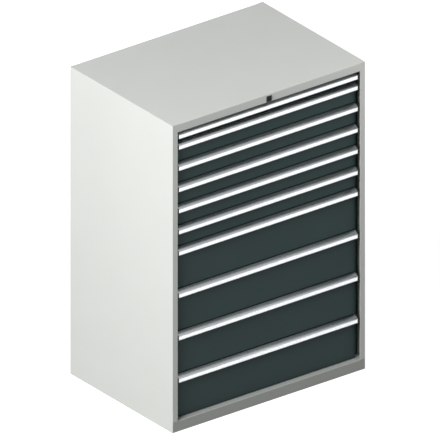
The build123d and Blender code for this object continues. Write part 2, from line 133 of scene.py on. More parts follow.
class CabinetFinishes(bpy.types.PropertyGroup):
    """Colours of the cabinet's finishes."""

    housing: bpy.props.FloatVectorProperty(
        name="Housing",
        description="Light grey powder coat of the housing",
        subtype="COLOR",
        size=3,
        min=0,
        max=1,
        default=(0.565, 0.58, 0.555),
    )
    # The plinth's darker grey is painted shade: it is the housing's paint, made darker for the dimmer light
    # near the floor.
    plinth: bpy.props.FloatVectorProperty(
        name="Plinth",
        description="Darker grey powder coat of the plinth",
        subtype="COLOR",
        size=3,
        min=0,
        max=1,
        default=(0.36, 0.375, 0.355),
    )
    front: bpy.props.FloatVectorProperty(
        name="Fronts",
        description="Anthracite powder coat of the drawer fronts",
        subtype="COLOR",
        size=3,
        min=0,
        max=1,
        default=(0.026, 0.046, 0.046),
    )
    tray: bpy.props.FloatVectorProperty(
        name="Trays",
        description="Light grey powder coat of the drawer trays",
        subtype="COLOR",
        size=3,
        min=0,
        max=1,
        default=(0.56, 0.575, 0.56),
    )
    zinc: bpy.props.FloatVectorProperty(
        name="Zinc",
        description="Zinc plating of the slides and the locking parts",
        subtype="COLOR",
        size=3,
        min=0,
        max=1,
        default=(0.56, 0.58, 0.60),
    )
    aluminium: bpy.props.FloatVectorProperty(
        name="Handles",
        description="Satin anodised aluminium of the handle strips",
        subtype="COLOR",
        size=3,
        min=0,
        max=1,
        default=(0.42, 0.44, 0.445),
    )
    label: bpy.props.FloatVectorProperty(
        name="Labels",
        description="White of the label strips",
        subtype="COLOR",
        size=3,
        min=0,
        max=1,
        default=(0.95, 0.96, 0.97),
    )
    plastic: bpy.props.FloatVectorProperty(
        name="Plastic",
        description="Moulded plastic of the end caps and rollers",
        subtype="COLOR",
        size=3,
        min=0,
        max=1,
        default=(0.012, 0.013, 0.014),
    )
    lock: bpy.props.FloatVectorProperty(
        name="Lock",
        description="Black nickel of the lock's plug",
        subtype="COLOR",
        size=3,
        min=0,
        max=1,
        default=(0.016, 0.017, 0.018),
    )
    # Painted glow: the label card gives off light of its own, so it shows brighter than the lamps make it.
    label_painted_glow: bpy.props.FloatProperty(
        name="Label glow",
        description="Brightening of the label card",
        subtype="FACTOR",
        min=0,
        max=1,
        default=0.37,
    )


class HandleSizes(bpy.types.PropertyGroup):
    """Sizes of the handle strips."""

    slope_drop: bpy.props.FloatProperty(
        name="Slope drop",
        description="How far the top of the handle slopes down to its face",
        subtype="DISTANCE",
        default=0.0127,
    )
    face_height: bpy.props.FloatProperty(
        name="Face height", description="Height of the label face", subtype="DISTANCE", default=0.0189
    )
    wall: bpy.props.FloatProperty(
        name="Wall", description="Wall thickness of the profile", subtype="DISTANCE", default=0.0016
    )
    leg: bpy.props.FloatProperty(
        name="Leg", description="Height of the leg on the front", subtype="DISTANCE", default=0.016
    )
    rim: bpy.props.FloatProperty(
        name="Rim", description="Wall behind the two lips", subtype="DISTANCE", default=0.0008
    )
    lip_height: bpy.props.FloatProperty(
        name="Lip height", description="Height of the two lips", subtype="DISTANCE", default=0.002
    )
    lip_depth: bpy.props.FloatProperty(
        name="Lip depth", description="Depth of the two lips", subtype="DISTANCE", default=0.001
    )
    strip: bpy.props.FloatProperty(
        name="Strip",
        description="Thickness of the label and of its cover",
        subtype="DISTANCE",
        default=0.0008,
    )
    play: bpy.props.FloatProperty(
        name="Play", description="Gap round the label in its groove", subtype="DISTANCE", default=0.0002
    )
    cap: bpy.props.FloatProperty(
        name="Cap", description="Width of an end cap", subtype="DISTANCE", default=0.008
    )


class TraySizes(bpy.types.PropertyGroup):
    """Sizes of the drawer trays."""

    half_width: bpy.props.FloatProperty(
        name="Half width", description="Half of the tray's outer width", subtype="DISTANCE", default=0.460
    )
    sheet: bpy.props.FloatProperty(
        name="Sheet", description="Thickness of the tray's sheet", subtype="DISTANCE", default=0.001
    )
    corner: bpy.props.FloatProperty(
        name="Corner", description="Outer radius of the tray's corners", subtype="DISTANCE", default=0.003
    )
    pitch: bpy.props.FloatProperty(
        name="Slot pitch", description="From one slot to the next", subtype="DISTANCE", default=0.017
    )
    slot: bpy.props.FloatProperty(
        name="Slot width", description="Width of a slot for a partition", subtype="DISTANCE", default=0.003
    )
    slot_row: bpy.props.FloatProperty(
        name="Slot row", description="Least height of a row of slots", subtype="DISTANCE", default=0.034
    )
    hem: bpy.props.FloatProperty(
        name="Hem", description="Width of the folded top edge", subtype="DISTANCE", default=0.0026
    )
    hem_height: bpy.props.FloatProperty(
        name="Hem height", description="Height of the folded top edge", subtype="DISTANCE", default=0.005
    )
    rail_lift: bpy.props.FloatProperty(
        name="Rail lift",
        description="From the tray's floor up to its rails",
        subtype="DISTANCE",
        default=0.002,
    )
    rail_height: bpy.props.FloatProperty(
        name="Rail height", description="Height of the tray's rails", subtype="DISTANCE", default=0.030
    )
    rail_flange: bpy.props.FloatProperty(
        name="Rail flange", description="Width of the tray's rails", subtype="DISTANCE", default=0.0095
    )
    rail_sheet: bpy.props.FloatProperty(
        name="Rail sheet", description="Thickness of the tray's rails", subtype="DISTANCE", default=0.0015
    )


class WeldMarkSizes(bpy.types.PropertyGroup):
    """Sizes of the spot-weld marks on the rear."""

    radius: bpy.props.FloatProperty(
        name="Radius", description="Radius of a mark", subtype="DISTANCE", default=0.0032
    )
    height: bpy.props.FloatProperty(
        name="Height", description="How far a mark stands proud", subtype="DISTANCE", default=0.0003
    )
    pitch: bpy.props.FloatProperty(
        name="Pitch", description="From one mark to the next, about", subtype="DISTANCE", default=0.075
    )
    from_side: bpy.props.FloatProperty(
        name="From the side",
        description="From the side to a column of marks",
        subtype="DISTANCE",
        default=0.011,
    )
    from_top: bpy.props.FloatProperty(
        name="From the top", description="From the top to the row of marks", subtype="DISTANCE", default=0.016
    )
    end_gap: bpy.props.FloatProperty(
        name="End gap", description="From a row's end to its first mark", subtype="DISTANCE", default=0.030
    )


class StudioSettings(bpy.types.PropertyGroup):
    """Camera, lamps and floor."""

    azimuth: bpy.props.FloatProperty(
        name="Azimuth", description="Turn of the camera", subtype="ANGLE", default=math.radians(-37.16)
    )
    elevation: bpy.props.FloatProperty(
        name="Elevation", description="Height of the camera", subtype="ANGLE", default=math.radians(26.31)
    )
    view_width: bpy.props.FloatProperty(
        name="View width", description="Width that the camera sees", subtype="DISTANCE", default=1.862
    )
    aim_right: bpy.props.FloatProperty(
        name="Aim right", description="View centre, right of the object's", subtype="DISTANCE", default=0.0088
    )
    aim_down: bpy.props.FloatProperty(
        name="Aim down", description="View centre, below the object's", subtype="DISTANCE", default=0.0096
    )
    key_power: bpy.props.FloatProperty(
        name="Key lamp", description="Power of the lamp at the upper left", subtype="POWER", default=820
    )
    fill_power: bpy.props.FloatProperty(
        name="Fill lamp", description="Power of the lamp at the right", subtype="POWER", default=9
    )
    rear_power: bpy.props.FloatProperty(
        name="Rear lamp", description="Power of the lamp at the rear right", subtype="POWER", default=300
    )
    ambient: bpy.props.FloatProperty(
        name="Ambient", description="Strength of the light from all round", default=0.20
    )
    floor_half: bpy.props.FloatProperty(
        name="Floor", description="Half of the floor's width", subtype="DISTANCE", default=8
    )


def deselect():
    """Goes to object mode with nothing selected."""
    if bpy.context.object and bpy.context.object.mode != "OBJECT":
        bpy.ops.object.mode_set(mode="OBJECT")
    bpy.ops.object.select_all(action="DESELECT")


def pick(*pieces):
    """Selects only these pieces, the first one active."""
    deselect()
    for piece in pieces:
        piece.select_set(True)
    bpy.context.view_layer.objects.active = pieces[0]


def settle(piece):
    """Puts a piece's place, turn and scale in its mesh."""
    pick(piece)
    bpy.ops.object.transform_apply(location=True, rotation=True, scale=True)


def modify(piece, kind, **settings):
    """Adds a modifier and applies it."""
    pick(piece)
    bpy.ops.object.modifier_add(type=kind)
    modifier = piece.modifiers[-1]
    for name, value in settings.items():
        setattr(modifier, name, value)
    bpy.ops.object.modifier_apply(modifier=modifier.name)


def soften(piece, width, segments=2, angle=30):
    """Rounds the sharp edges of a piece."""
    modify(
        piece,
        "BEVEL",
        width=width,
        segments=segments,
        limit_method="ANGLE",
        angle_limit=math.radians(angle),
        harden_normals=False,
    )


def smooth(piece, angle=35):
    """Smooths the shading of the flat angles of a piece."""
    pick(piece)
    bpy.ops.object.shade_smooth_by_angle(angle=math.radians(angle))


def block(name, low, high):
    """Starts a piece as a block between two corners."""
    deselect()
    middle = [(a + b) / 2 for a, b in zip(low, high)]
    size = [b - a for a, b in zip(low, high)]
    bpy.ops.mesh.primitive_cube_add(size=1, location=middle, scale=size)
    piece = bpy.context.object
    piece.name = name
    settle(piece)
    return piece


def extrusion(name, outline, axis, start, end):
    """Draws an outline point by point, fills it and extrudes it along an axis."""
    order = {"X": (2, 0, 1), "Y": (0, 2, 1), "Z": (0, 1, 2)}[axis]

    def spread(first, second, along):
        values = (first, second, along)
        return Vector([values[index] for index in order])

    deselect()
    places = [spread(*point, start) for point in outline]
    bpy.ops.mesh.primitive_plane_add(size=0.001, location=places[0])
    piece = bpy.context.object
    piece.name = name
    settle(piece)
    bpy.ops.object.mode_set(mode="EDIT")
    bpy.ops.mesh.select_all(action="SELECT")
    bpy.ops.mesh.merge(type="CENTER")
    for here, there in zip(places, places[1:]):
        bpy.ops.mesh.extrude_vertices_move(TRANSFORM_OT_translate={"value": there - here})
    bpy.ops.mesh.select_all(action="SELECT")
    bpy.ops.mesh.edge_face_add()
    run = spread(0, 0, end - start)
    bpy.ops.mesh.extrude_region_move(TRANSFORM_OT_translate={"value": run})
    bpy.ops.mesh.select_all(action="SELECT")
    bpy.ops.mesh.normals_make_consistent(inside=False)
    bpy.ops.object.mode_set(mode="OBJECT")
    return piece


def merge(name, pieces):
    """Joins pieces into one."""
    pick(*pieces)
    bpy.ops.object.join()
    piece = bpy.context.object
    piece.name = name
    return piece


def mirrored(piece, name):
    """A copy of a piece on the other side of the cabinet."""
    pick(piece)
    bpy.ops.object.duplicate()
    twin = bpy.context.object
    twin.name = name
    twin.scale.x = -1
    settle(twin)
    bpy.ops.object.mode_set(mode="EDIT")
    bpy.ops.mesh.select_all(action="SELECT")
    bpy.ops.mesh.normals_make_consistent(inside=False)
    bpy.ops.object.mode_set(mode="OBJECT")
    return twin


def copied(piece, name, lift, across=0):
    """A copy of a piece at another height or further to the right, with its own mesh."""
    pick(piece)
    bpy.ops.object.duplicate()
    twin = bpy.context.object
    twin.name = name
    twin.location = (across, 0, lift)
    settle(twin)
    return twin


def finish_piece(piece, material, slot, body, *nodes):
    """Gives a finished piece its material and body, and hides the CAD nodes it stands for; the slot is not
    used.
    """
    piece.data.materials.clear()
    piece.data.materials.append(material)
    if nodes:
        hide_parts(*nodes)
    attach(piece, body)


def add_node(tree, kind, settings=None, **inputs):
    """Adds a shader node. An input is a value or another node's output."""
    node = tree.nodes.new("ShaderNode" + kind)
    for name, value in (settings or {}).items():
        setattr(node, name, value)
    for name, value in inputs.items():
        socket = node.inputs[name.replace("_", " ")]
        if isinstance(value, bpy.types.NodeSocket):
            tree.links.new(value, socket)
        else:
            socket.default_value = value
    return node


def maths(tree, operation, *values):
    """The result of a maths node. A value is a number or another node's output."""
    node = add_node(tree, "Math", {"operation": operation})
    for socket, value in zip(node.inputs, values):
        if isinstance(value, bpy.types.NodeSocket):
            tree.links.new(value, socket)
        else:
            socket.default_value = value
    return node.outputs[0]


def scaled(tree, vector, scale):
    """Object coordinates stretched by a scale along each axis."""
    return add_node(tree, "Mapping", Vector=vector, Scale=scale).outputs["Vector"]


def ramp(tree, value, from_low, from_high, to_low, to_high):
    """Maps a value from one range to another."""
    node = add_node(
        tree,
        "MapRange",
        Value=value,
        From_Min=from_low,
        From_Max=from_high,
        To_Min=to_low,
        To_Max=to_high,
    )
    return node.outputs["Result"]


def blended(tree, factor, first, second):
    """Mixes two colours."""
    node = add_node(tree, "MixRGB", Fac=factor, Color1=first, Color2=second)
    return node.outputs["Color"]


def shaded(tree, colour, factor):
    """A colour made darker or lighter by a factor."""
    node = add_node(tree, "MixRGB", {"blend_type": "MULTIPLY"}, Fac=1.0, Color1=colour)
    tree.links.new(factor, node.inputs["Color2"])
    return node.outputs["Color"]


def new_group(name, inputs, outputs):
    """Starts a shader node group with named sockets."""
    group = bpy.data.node_groups.new(name, "ShaderNodeTree")
    for socket_name, kind, default in inputs:
        socket = group.interface.new_socket(name=socket_name, in_out="INPUT", socket_type="NodeSocket" + kind)
        if default is not None:
            socket.default_value = default
    for socket_name, kind in outputs:
        group.interface.new_socket(name=socket_name, in_out="OUTPUT", socket_type="NodeSocket" + kind)
    return group, group.nodes.new("NodeGroupInput"), group.nodes.new("NodeGroupOutput")


def finish_group(group, out, colour, roughness, bump):
    """Connects a group's colour, roughness and normal to its outputs."""
    group.links.new(colour, out.inputs["Colour"])
    group.links.new(roughness, out.inputs["Roughness"])
    group.links.new(bump.outputs["Normal"], out.inputs["Normal"])
    return group


def powder_coat_group():
    """Powder coat: faint clouding, the fine skin of the cured powder, and lighter edges, partly wear and
    partly a painted highlight.
    """
    group, given, out = new_group(
        "Powder coat",
        [
            ("Colour", "Color", (0.6, 0.6, 0.6, 1)),
            ("Clouding", "Float", 0.02),
            ("Skin scale", "Float", 700.0),
            ("Skin depth", "Float", 0.15),
            ("Roughness", "Float", 0.4),
            ("Edge width", "Float", 0.0012),
            ("Edge lightening", "Float", 0.15),
        ],
        [("Colour", "Color"), ("Roughness", "Float"), ("Normal", "Vector")],
    )
    place = add_node(group, "TexCoord").outputs["Object"]
    clouds = add_node(group, "TexNoise", Vector=place, Scale=3.5, Detail=4.0, Roughness=0.6)
    low = maths(group, "SUBTRACT", 1.0, given.outputs["Clouding"])
    high = maths(group, "ADD", 1.0, given.outputs["Clouding"])
    shade = ramp(group, clouds.outputs["Fac"], 0.3, 0.7, low, high)
    clouded = shaded(group, given.outputs["Colour"], shade)
    # Edges are mixed towards pale grey: partly wear on the edges and partly a painted highlight where the
    # edges catch the light.
    rounded = add_node(group, "Bevel", {"samples": 4}, Radius=given.outputs["Edge width"])
    flat = add_node(group, "NewGeometry").outputs["Normal"]
    likeness = add_node(group, "VectorMath", {"operation": "DOT_PRODUCT"})
    group.links.new(rounded.outputs["Normal"], likeness.inputs[0])
    group.links.new(flat, likeness.inputs[1])
    edge = ramp(group, likeness.outputs["Value"], 0.995, 0.85, 0.0, 1.0)
    wear_and_highlight = maths(group, "MULTIPLY", edge, given.outputs["Edge lightening"])
    colour = blended(group, wear_and_highlight, clouded, (0.9, 0.9, 0.88, 1))
    skin_scale = given.outputs["Skin scale"]
    skin = add_node(group, "TexNoise", Vector=place, Scale=skin_scale, Detail=2.0, Roughness=0.5)
    depth = given.outputs["Skin depth"]
    bump = add_node(group, "Bump", Height=skin.outputs["Fac"], Distance=0.0004, Strength=depth)
    handling = add_node(group, "TexNoise", Vector=place, Scale=9.0, Detail=6.0, Roughness=0.7)
    change = ramp(group, handling.outputs["Fac"], 0.3, 0.75, -0.04, 0.06)
    roughness = maths(group, "ADD", given.outputs["Roughness"], change)
    return finish_group(group, out, colour, roughness, bump)


def grain_group():
    """Drawn or brushed metal: long fine lines along one axis."""
    group, given, out = new_group(
        "Metal grain",
        [
            ("Colour", "Color", (0.8, 0.8, 0.8, 1)),
            ("Stretch", "Vector", (1.0, 1.0, 1.0)),
            ("Depth", "Float", 0.1),
            ("Roughness", "Float", 0.3),
        ],
        [("Colour", "Color"), ("Roughness", "Float"), ("Normal", "Vector")],
    )
    place = add_node(group, "TexCoord").outputs["Object"]
    stretched = add_node(group, "VectorMath", {"operation": "MULTIPLY"})
    group.links.new(place, stretched.inputs[0])
    group.links.new(given.outputs["Stretch"], stretched.inputs[1])
    place = stretched.outputs["Vector"]
    lines = add_node(group, "TexNoise", Vector=place, Scale=1.0, Detail=5.0, Roughness=0.7)
    shade = ramp(group, lines.outputs["Fac"], 0.25, 0.75, 0.93, 1.05)
    colour = shaded(group, given.outputs["Colour"], shade)
    change = ramp(group, lines.outputs["Fac"], 0.25, 0.75, 0.06, -0.05)
    roughness = maths(group, "ADD", given.outputs["Roughness"], change)
    depth = given.outputs["Depth"]
    bump = add_node(group, "Bump", Height=lines.outputs["Fac"], Distance=0.0002, Strength=depth)
    return finish_group(group, out, colour, roughness, bump)


def spangle_group():
    """Zinc plating: small crystals of slightly different greys, and faint stains."""
    group, given, out = new_group(
        "Zinc spangle",
        [
            ("Colour", "Color", (0.6, 0.6, 0.6, 1)),
            ("Crystal scale", "Float", 260.0),
            ("Roughness", "Float", 0.32),
        ],
        [("Colour", "Color"), ("Roughness", "Float"), ("Normal", "Vector")],
    )
    place = add_node(group, "TexCoord").outputs["Object"]
    crystals = add_node(group, "TexVoronoi", Vector=place, Scale=given.outputs["Crystal scale"])
    stains = add_node(group, "TexNoise", Vector=place, Scale=14.0, Detail=5.0, Roughness=0.65)
    crystal_shade = ramp(group, crystals.outputs["Distance"], 0.0, 0.9, 1.06, 0.9)
    stain_shade = ramp(group, stains.outputs["Fac"], 0.3, 0.7, 0.94, 1.04)
    both = maths(group, "MULTIPLY", crystal_shade, stain_shade)
    colour = shaded(group, given.outputs["Colour"], both)
    change = ramp(group, stains.outputs["Fac"], 0.3, 0.7, 0.08, -0.04)
    roughness = maths(group, "ADD", given.outputs["Roughness"], change)
    bump = add_node(group, "Bump", Height=crystals.outputs["Distance"], Distance=0.0001, Strength=0.2)
    return finish_group(group, out, colour, roughness, bump)


def group_material(name, group, values, metallic=0.0, specular=0.5):
    """A material whose colour, roughness and normal come from a node group."""
    material = bpy.data.materials.new(name)
    material.use_nodes = True
    tree = material.node_tree
    shader = tree.nodes["Principled BSDF"]
    shader.inputs["Metallic"].default_value = metallic
    shader.inputs["Specular IOR Level"].default_value = specular
    node = tree.nodes.new("ShaderNodeGroup")
    node.node_tree = group
    for socket, value in values.items():
        node.inputs[socket].default_value = value
    tree.links.new(node.outputs["Colour"], shader.inputs["Base Color"])
    tree.links.new(node.outputs["Roughness"], shader.inputs["Roughness"])
    tree.links.new(node.outputs["Normal"], shader.inputs["Normal"])
    return material


def opaque(colour):
    """A colour property as red, green, blue and alpha."""
    return (*colour, 1.0)


def coat_material(name, group, colour, roughness, specular, clouding, wear_and_highlight, skin=700.0):
    """A powder-coated or moulded surface."""
    values = {
        "Colour": opaque(colour),
        "Clouding": clouding,
        "Skin scale": skin,
        "Skin depth": 0.15,
        "Roughness": roughness,
        "Edge lightening": wear_and_highlight,
    }
    return group_material(name, group, values, specular=specular)


def label_material(name, colour, glow):
    """White label card with a faint fibre and a painted glow that shows it brighter than the lamps make it.
    """
    material = bpy.data.materials.new(name)
    material.use_nodes = True
    tree = material.node_tree
    shader = tree.nodes["Principled BSDF"]
    place = add_node(tree, "TexCoord").outputs["Object"]
    fibre = add_node(tree, "TexNoise", Vector=scaled(tree, place, (900, 2200, 2200)), Scale=1.0, Detail=4.0)
    shade = ramp(tree, fibre.outputs["Fac"], 0.3, 0.7, 0.985, 1.0)
    tree.links.new(shaded(tree, opaque(colour), shade), shader.inputs["Base Color"])
    tree.links.new(ramp(tree, fibre.outputs["Fac"], 0.3, 0.7, 0.5, 0.6), shader.inputs["Roughness"])
    bump = add_node(tree, "Bump", Height=fibre.outputs["Fac"], Distance=0.0001, Strength=0.1)
    tree.links.new(bump.outputs["Normal"], shader.inputs["Normal"])
    # Painted glow: the card's own white is given off as light, brighter than the lamps make it.
    shader.inputs["Emission Color"].default_value = opaque(colour)
    shader.inputs["Emission Strength"].default_value = glow
    return material


def cover_material(name):
    """Clear plastic over the label, with faint hairline scratches."""
    material = bpy.data.materials.new(name)
    material.use_nodes = True
    tree = material.node_tree
    shader = tree.nodes["Principled BSDF"]
    place = add_node(tree, "TexCoord").outputs["Object"]
    lines = add_node(tree, "TexNoise", Vector=scaled(tree, place, (60, 900, 3000)), Scale=1.0, Detail=3.0)
    tree.links.new(ramp(tree, lines.outputs["Fac"], 0.3, 0.75, 0.06, 0.2), shader.inputs["Roughness"])
    bump = add_node(tree, "Bump", Height=lines.outputs["Fac"], Distance=0.0001, Strength=0.05)
    tree.links.new(bump.outputs["Normal"], shader.inputs["Normal"])
    shader.inputs["Base Color"].default_value = (0.97, 0.985, 1.0, 1.0)
    shader.inputs["Alpha"].default_value = 0.16
    shader.inputs["IOR"].default_value = 1.49
    return material


def carriage_material(plastic):
    """Zinc bars and studs with black rollers, told apart by their distance from the bar."""
    material = group_material(
        "carriage_steel_and_rollers",
        node_group("Zinc spangle"),
        {"Colour": opaque(bpy.context.scene.cabinet_finishes.zinc)},
        metallic=1.0,
    )
    tree = material.node_tree
    shader = tree.nodes["Principled BSDF"]
    bar_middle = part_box("drawer_01_carriages")[1].x - stud_reach
    place = add_node(tree, "TexCoord").outputs["Object"]
    along_x = add_node(tree, "SeparateXYZ", Vector=place).outputs["X"]
    offset = maths(tree, "SUBTRACT", maths(tree, "ABSOLUTE", along_x), bar_middle)
    distance = maths(tree, "ABSOLUTE", offset)
    roller_middle = (roller_near + roller_far) / 2
    roller_half = (roller_far - roller_near) / 2
    mask = maths(tree, "COMPARE", distance, roller_middle, roller_half)
    colour_link = shader.inputs["Base Color"].links[0]
    roughness_link = shader.inputs["Roughness"].links[0]
    colour = blended(tree, mask, colour_link.from_socket, opaque(plastic))
    roughness = add_node(tree, "MapRange", Value=mask, To_Max=0.5)
    tree.links.new(roughness_link.from_socket, roughness.inputs["To Min"])
    tree.links.new(colour, shader.inputs["Base Color"])
    tree.links.new(roughness.outputs["Result"], shader.inputs["Roughness"])
    tree.links.new(ramp(tree, mask, 0.0, 1.0, 1.0, 0.0), shader.inputs["Metallic"])
    return material


def node_group(name):
    """A shared effect, built when it is first asked for."""
    builders = {
        "Powder coat": powder_coat_group,
        "Metal grain": grain_group,
        "Zinc spangle": spangle_group,
    }
    return bpy.data.node_groups.get(name) or builders[name]()


def surface(slot):
    """The material of one finish, built when it is first asked for."""
    name = f"{slot}_finish"
    made = bpy.data.materials.get(name)
    if made:
        return made
    colours = bpy.context.scene.cabinet_finishes
    coat = node_group("Powder coat")
    if slot == "housing_grey":
        return coat_material(name, coat, colours.housing, 0.5, 0.3, 0.012, 0.10)
    if slot == "plinth_grey":
        # Painted shade: the plinth gets the housing's paint made darker for the dimmer light near the floor.
        return coat_material(name, coat, colours.plinth, 0.45, 0.3, 0.02, 0.08)
    if slot == "front_anthracite":
        return coat_material(name, coat, colours.front, 0.46, 0.18, 0.04, 0.03)
    if slot == "drawer_grey":
        return coat_material(name, coat, colours.tray, 0.5, 0.3, 0.015, 0.12)
    if slot == "black_plastic":
        return coat_material(name, coat, colours.plastic, 0.5, 0.16, 0.06, 0.02, 1500.0)
    if slot == "black_rubber":
        return coat_material(name, coat, colours.plastic, 0.75, 0.3, 0.08, 0.02, 900.0)
    if slot == "zinc_steel":
        values = {"Colour": opaque(colours.zinc)}
        return group_material(name, node_group("Zinc spangle"), values, metallic=1.0)
    if slot == "handle_aluminium":
        values = {"Colour": opaque(colours.aluminium), "Stretch": (6, 2600, 2600), "Roughness": 0.28}
        return group_material(name, node_group("Metal grain"), values, metallic=1.0)
    if slot == "lock_chrome":
        values = {"Colour": opaque(colours.lock), "Stretch": (900, 60, 900), "Roughness": 0.3}
        return group_material(name, node_group("Metal grain"), values, metallic=1.0)
    if slot == "label_card":
        return label_material(name, colours.label, colours.label_painted_glow)
    if slot == "clear_cover":
        return cover_material(name)
    raise ValueError(f"no finish is known for {slot}")


class CABINET_OT_finishes(bpy.types.Operator):
    """Give every sheet-metal part, slide and lock part its finish"""

    bl_idname = "cabinet.finishes"
    bl_label = "Finishes"

    def execute(self, context):
        slots = {part["node"]: part["material_slot"] for part in frame["record"]["subparts"]}
        carriage = carriage_material(context.scene.cabinet_finishes.plastic)
        for name, node in frame["nodes"].items():
            made = carriage if name.endswith("_carriages") else surface(slots[name])
            node.data.materials.clear()
            node.data.materials.append(made)
        return {"FINISHED"}


def handle_outline(sizes, depth, grooved):
    """Outline of a handle strip, as distances out from the front and up from the drawer's top."""
    foot = sizes.slope_drop + sizes.face_height
    lip = depth - sizes.lip_depth
    groove = lip - 2 * sizes.strip - sizes.play
    back = groove - sizes.wall
    upper = -sizes.slope_drop - sizes.lip_height
    lower = -foot + sizes.lip_height
    roof = -sizes.slope_drop - sizes.rim
    base = -foot + sizes.rim
    under = -sizes.wall - sizes.slope_drop * sizes.wall / depth
    face = [(depth, -sizes.slope_drop), (depth, -foot)]
    if grooved:
        face[1:1] = [
            (depth, upper),
            (lip, upper),
            (lip, roof),
            (groove, roof),
            (groove, base),
            (lip, base),
            (lip, lower),
            (depth, lower),
        ]
    rest = [
        (back, -foot),
        (back, -sizes.slope_drop - sizes.wall),
        (sizes.wall, under),
        (sizes.wall, -sizes.leg),
        (0, -sizes.leg),
    ]
    return [(0, 0), *face, *rest]


class CABINET_OT_handles(bpy.types.Operator):
    """Model the handle strips: profile, label, clear cover and end caps"""

    bl_idname = "cabinet.handles"
    bl_label = "Handle strips"

    def execute(self, context):
        sizes = context.scene.cabinet_handles
        face_y = first_pan_low.y
        top = first_handle_high.z
        end = first_handle_high.x
        depth = face_y - first_handle_low.y
        inner = end - sizes.cap

        def strip(name, outline, start, stop):
            places = [(face_y - out, top + up) for out, up in outline]
            return extrusion(name, places, "X", start, stop)

        profile = strip("handle_profile", handle_outline(sizes, depth, True), -inner, inner)
        soften(profile, profile_edge)
        lip = depth - sizes.lip_depth
        high = -sizes.slope_drop - sizes.rim - sizes.play
        low = -sizes.slope_drop - sizes.face_height + sizes.rim + sizes.play
        seam = lip - sizes.strip
        back = seam - sizes.strip
        label_outline = [(back, high), (seam, high), (seam, low), (back, low)]
        label = strip("handle_label", label_outline, -inner, inner)
        soften(label, label_edge, 1)
        cover_outline = [(seam, high), (lip, high), (lip, low), (seam, low)]
        cover = strip("handle_cover", cover_outline, -inner, inner)
        soften(cover, cover_edge, 2)
        caps = [self.end_cap(strip, sizes, depth, inner, end)]
        caps.append(mirrored(caps[0], "handle_cap_left"))
        pair = merge("handle_caps", caps)
        parts = {"profile": profile, "label": label, "cover": cover, "caps": pair}
        for piece in parts.values():
            smooth(piece)
        slots = {
            "profile": "handle_aluminium",
            "label": "label_card",
            "cover": "clear_cover",
            "caps": "black_plastic",
        }
        for name in drawer_names:
            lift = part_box(f"{name}_handle")[1].z - top
            for part, piece in parts.items():
                twin = copied(piece, f"{name}_handle_{part}", lift)
                finish_piece(twin, surface(slots[part]), slots[part], name, f"{name}_handle")
        for piece in parts.values():
            bpy.data.objects.remove(piece)
        return {"FINISHED"}

    @staticmethod
    def end_cap(strip, sizes, depth, inner, end):
        """Right end cap, with all its edges rounded."""
        cap = strip("handle_cap_right", handle_outline(sizes, depth, False), inner, end)
        soften(cap, cap_edge, 3)
        return cap


def slotted_wall(name, sizes, middle, length, low, high, turned):
    """One wall of a tray: a sheet with rows of slots for partitions."""
    columns = round(length / sizes.pitch)
    rows = max(1, int((high - low) / sizes.slot_row))
    deselect()
    turn = math.pi / 2 if turned else 0
    bpy.ops.mesh.primitive_grid_add(
        x_subdivisions=columns,
        y_subdivisions=rows,
        size=1,
        location=(middle[0], middle[1], (low + high) / 2),
        rotation=(math.pi / 2, 0, turn),
    )
    wall = bpy.context.object
    wall.name = name
    wall.scale = (length, high - low, 1)
    settle(wall)
    bpy.ops.object.mode_set(mode="EDIT")
    bpy.ops.mesh.select_all(action="SELECT")
    border = (length / columns - sizes.slot) / 2
    bpy.ops.mesh.inset(thickness=border, use_individual=True)
    bpy.ops.mesh.delete(type="FACE")
    bpy.ops.object.mode_set(mode="OBJECT")
    modify(wall, "SOLIDIFY", thickness=sizes.sheet, offset=0, use_even_offset=True)
    return wall


def arc(centre, radius, start, end, steps):
    """Points along an arc, its angles in degrees."""
    angles = [math.radians(start + (end - start) * step / steps) for step in range(steps + 1)]
    return [(centre[0] + radius * math.cos(a), centre[1] + radius * math.sin(a)) for a in angles]


def rounded_rectangle(low, high, radius, steps=5):
    """Outline of a rectangle with round corners."""
    corners = [
        ((high[0] - radius, high[1] - radius), 0),
        ((low[0] + radius, high[1] - radius), 90),
        ((low[0] + radius, low[1] + radius), 180),
        ((high[0] - radius, low[1] + radius), 270),
    ]
    return [point for centre, turn in corners for point in arc(centre, radius, turn, turn + 90, steps)]


def tray_shell(name, sizes, front, rear, low, high):
    """A tray of one height: floor, slotted walls, welded corners and folded top edges."""
    half = sizes.half_width
    sheet = sizes.sheet
    corner = sizes.corner
    floor = extrusion("floor", rounded_rectangle((-half, front), (half, rear), corner), "Z", low, low + sheet)
    walls = [floor]
    width = 2 * (half - corner)
    depth = rear - front - 2 * corner
    middle_y = (front + rear) / 2
    base = low + sheet
    for y in (front + sheet / 2, rear - sheet / 2):
        walls.append(slotted_wall("wall", sizes, (0, y), width, base, high, False))
    for x in (-half + sheet / 2, half - sheet / 2):
        walls.append(slotted_wall("wall", sizes, (x, middle_y), depth, base, high, True))
    corners = [
        (half - corner, rear - corner, 0),
        (-half + corner, rear - corner, 90),
        (-half + corner, front + corner, 180),
        (half - corner, front + corner, 270),
    ]
    for x, y, turn in corners:
        outer = arc((x, y), corner, turn, turn + 90, 5)
        inner = arc((x, y), corner - sheet, turn + 90, turn, 5)
        walls.append(extrusion("corner", outer + inner, "Z", base, high))
    hem = high - sizes.hem_height
    inner_x = half - sheet
    edge = block("hem", (inner_x - sizes.hem, front + corner, hem), (inner_x, rear - corner, high))
    soften(edge, hem_edge, 3)
    walls += [edge, mirrored(edge, "hem")]
    for inner_y, away in ((front + sheet, 1), (rear - sheet, -1)):
        ends = sorted((inner_y, inner_y + away * sizes.hem))
        edge = block("hem", (-half + corner, ends[0], hem), (half - corner, ends[1], high))
        soften(edge, hem_edge, 3)
        walls.append(edge)
    return merge(name, walls)


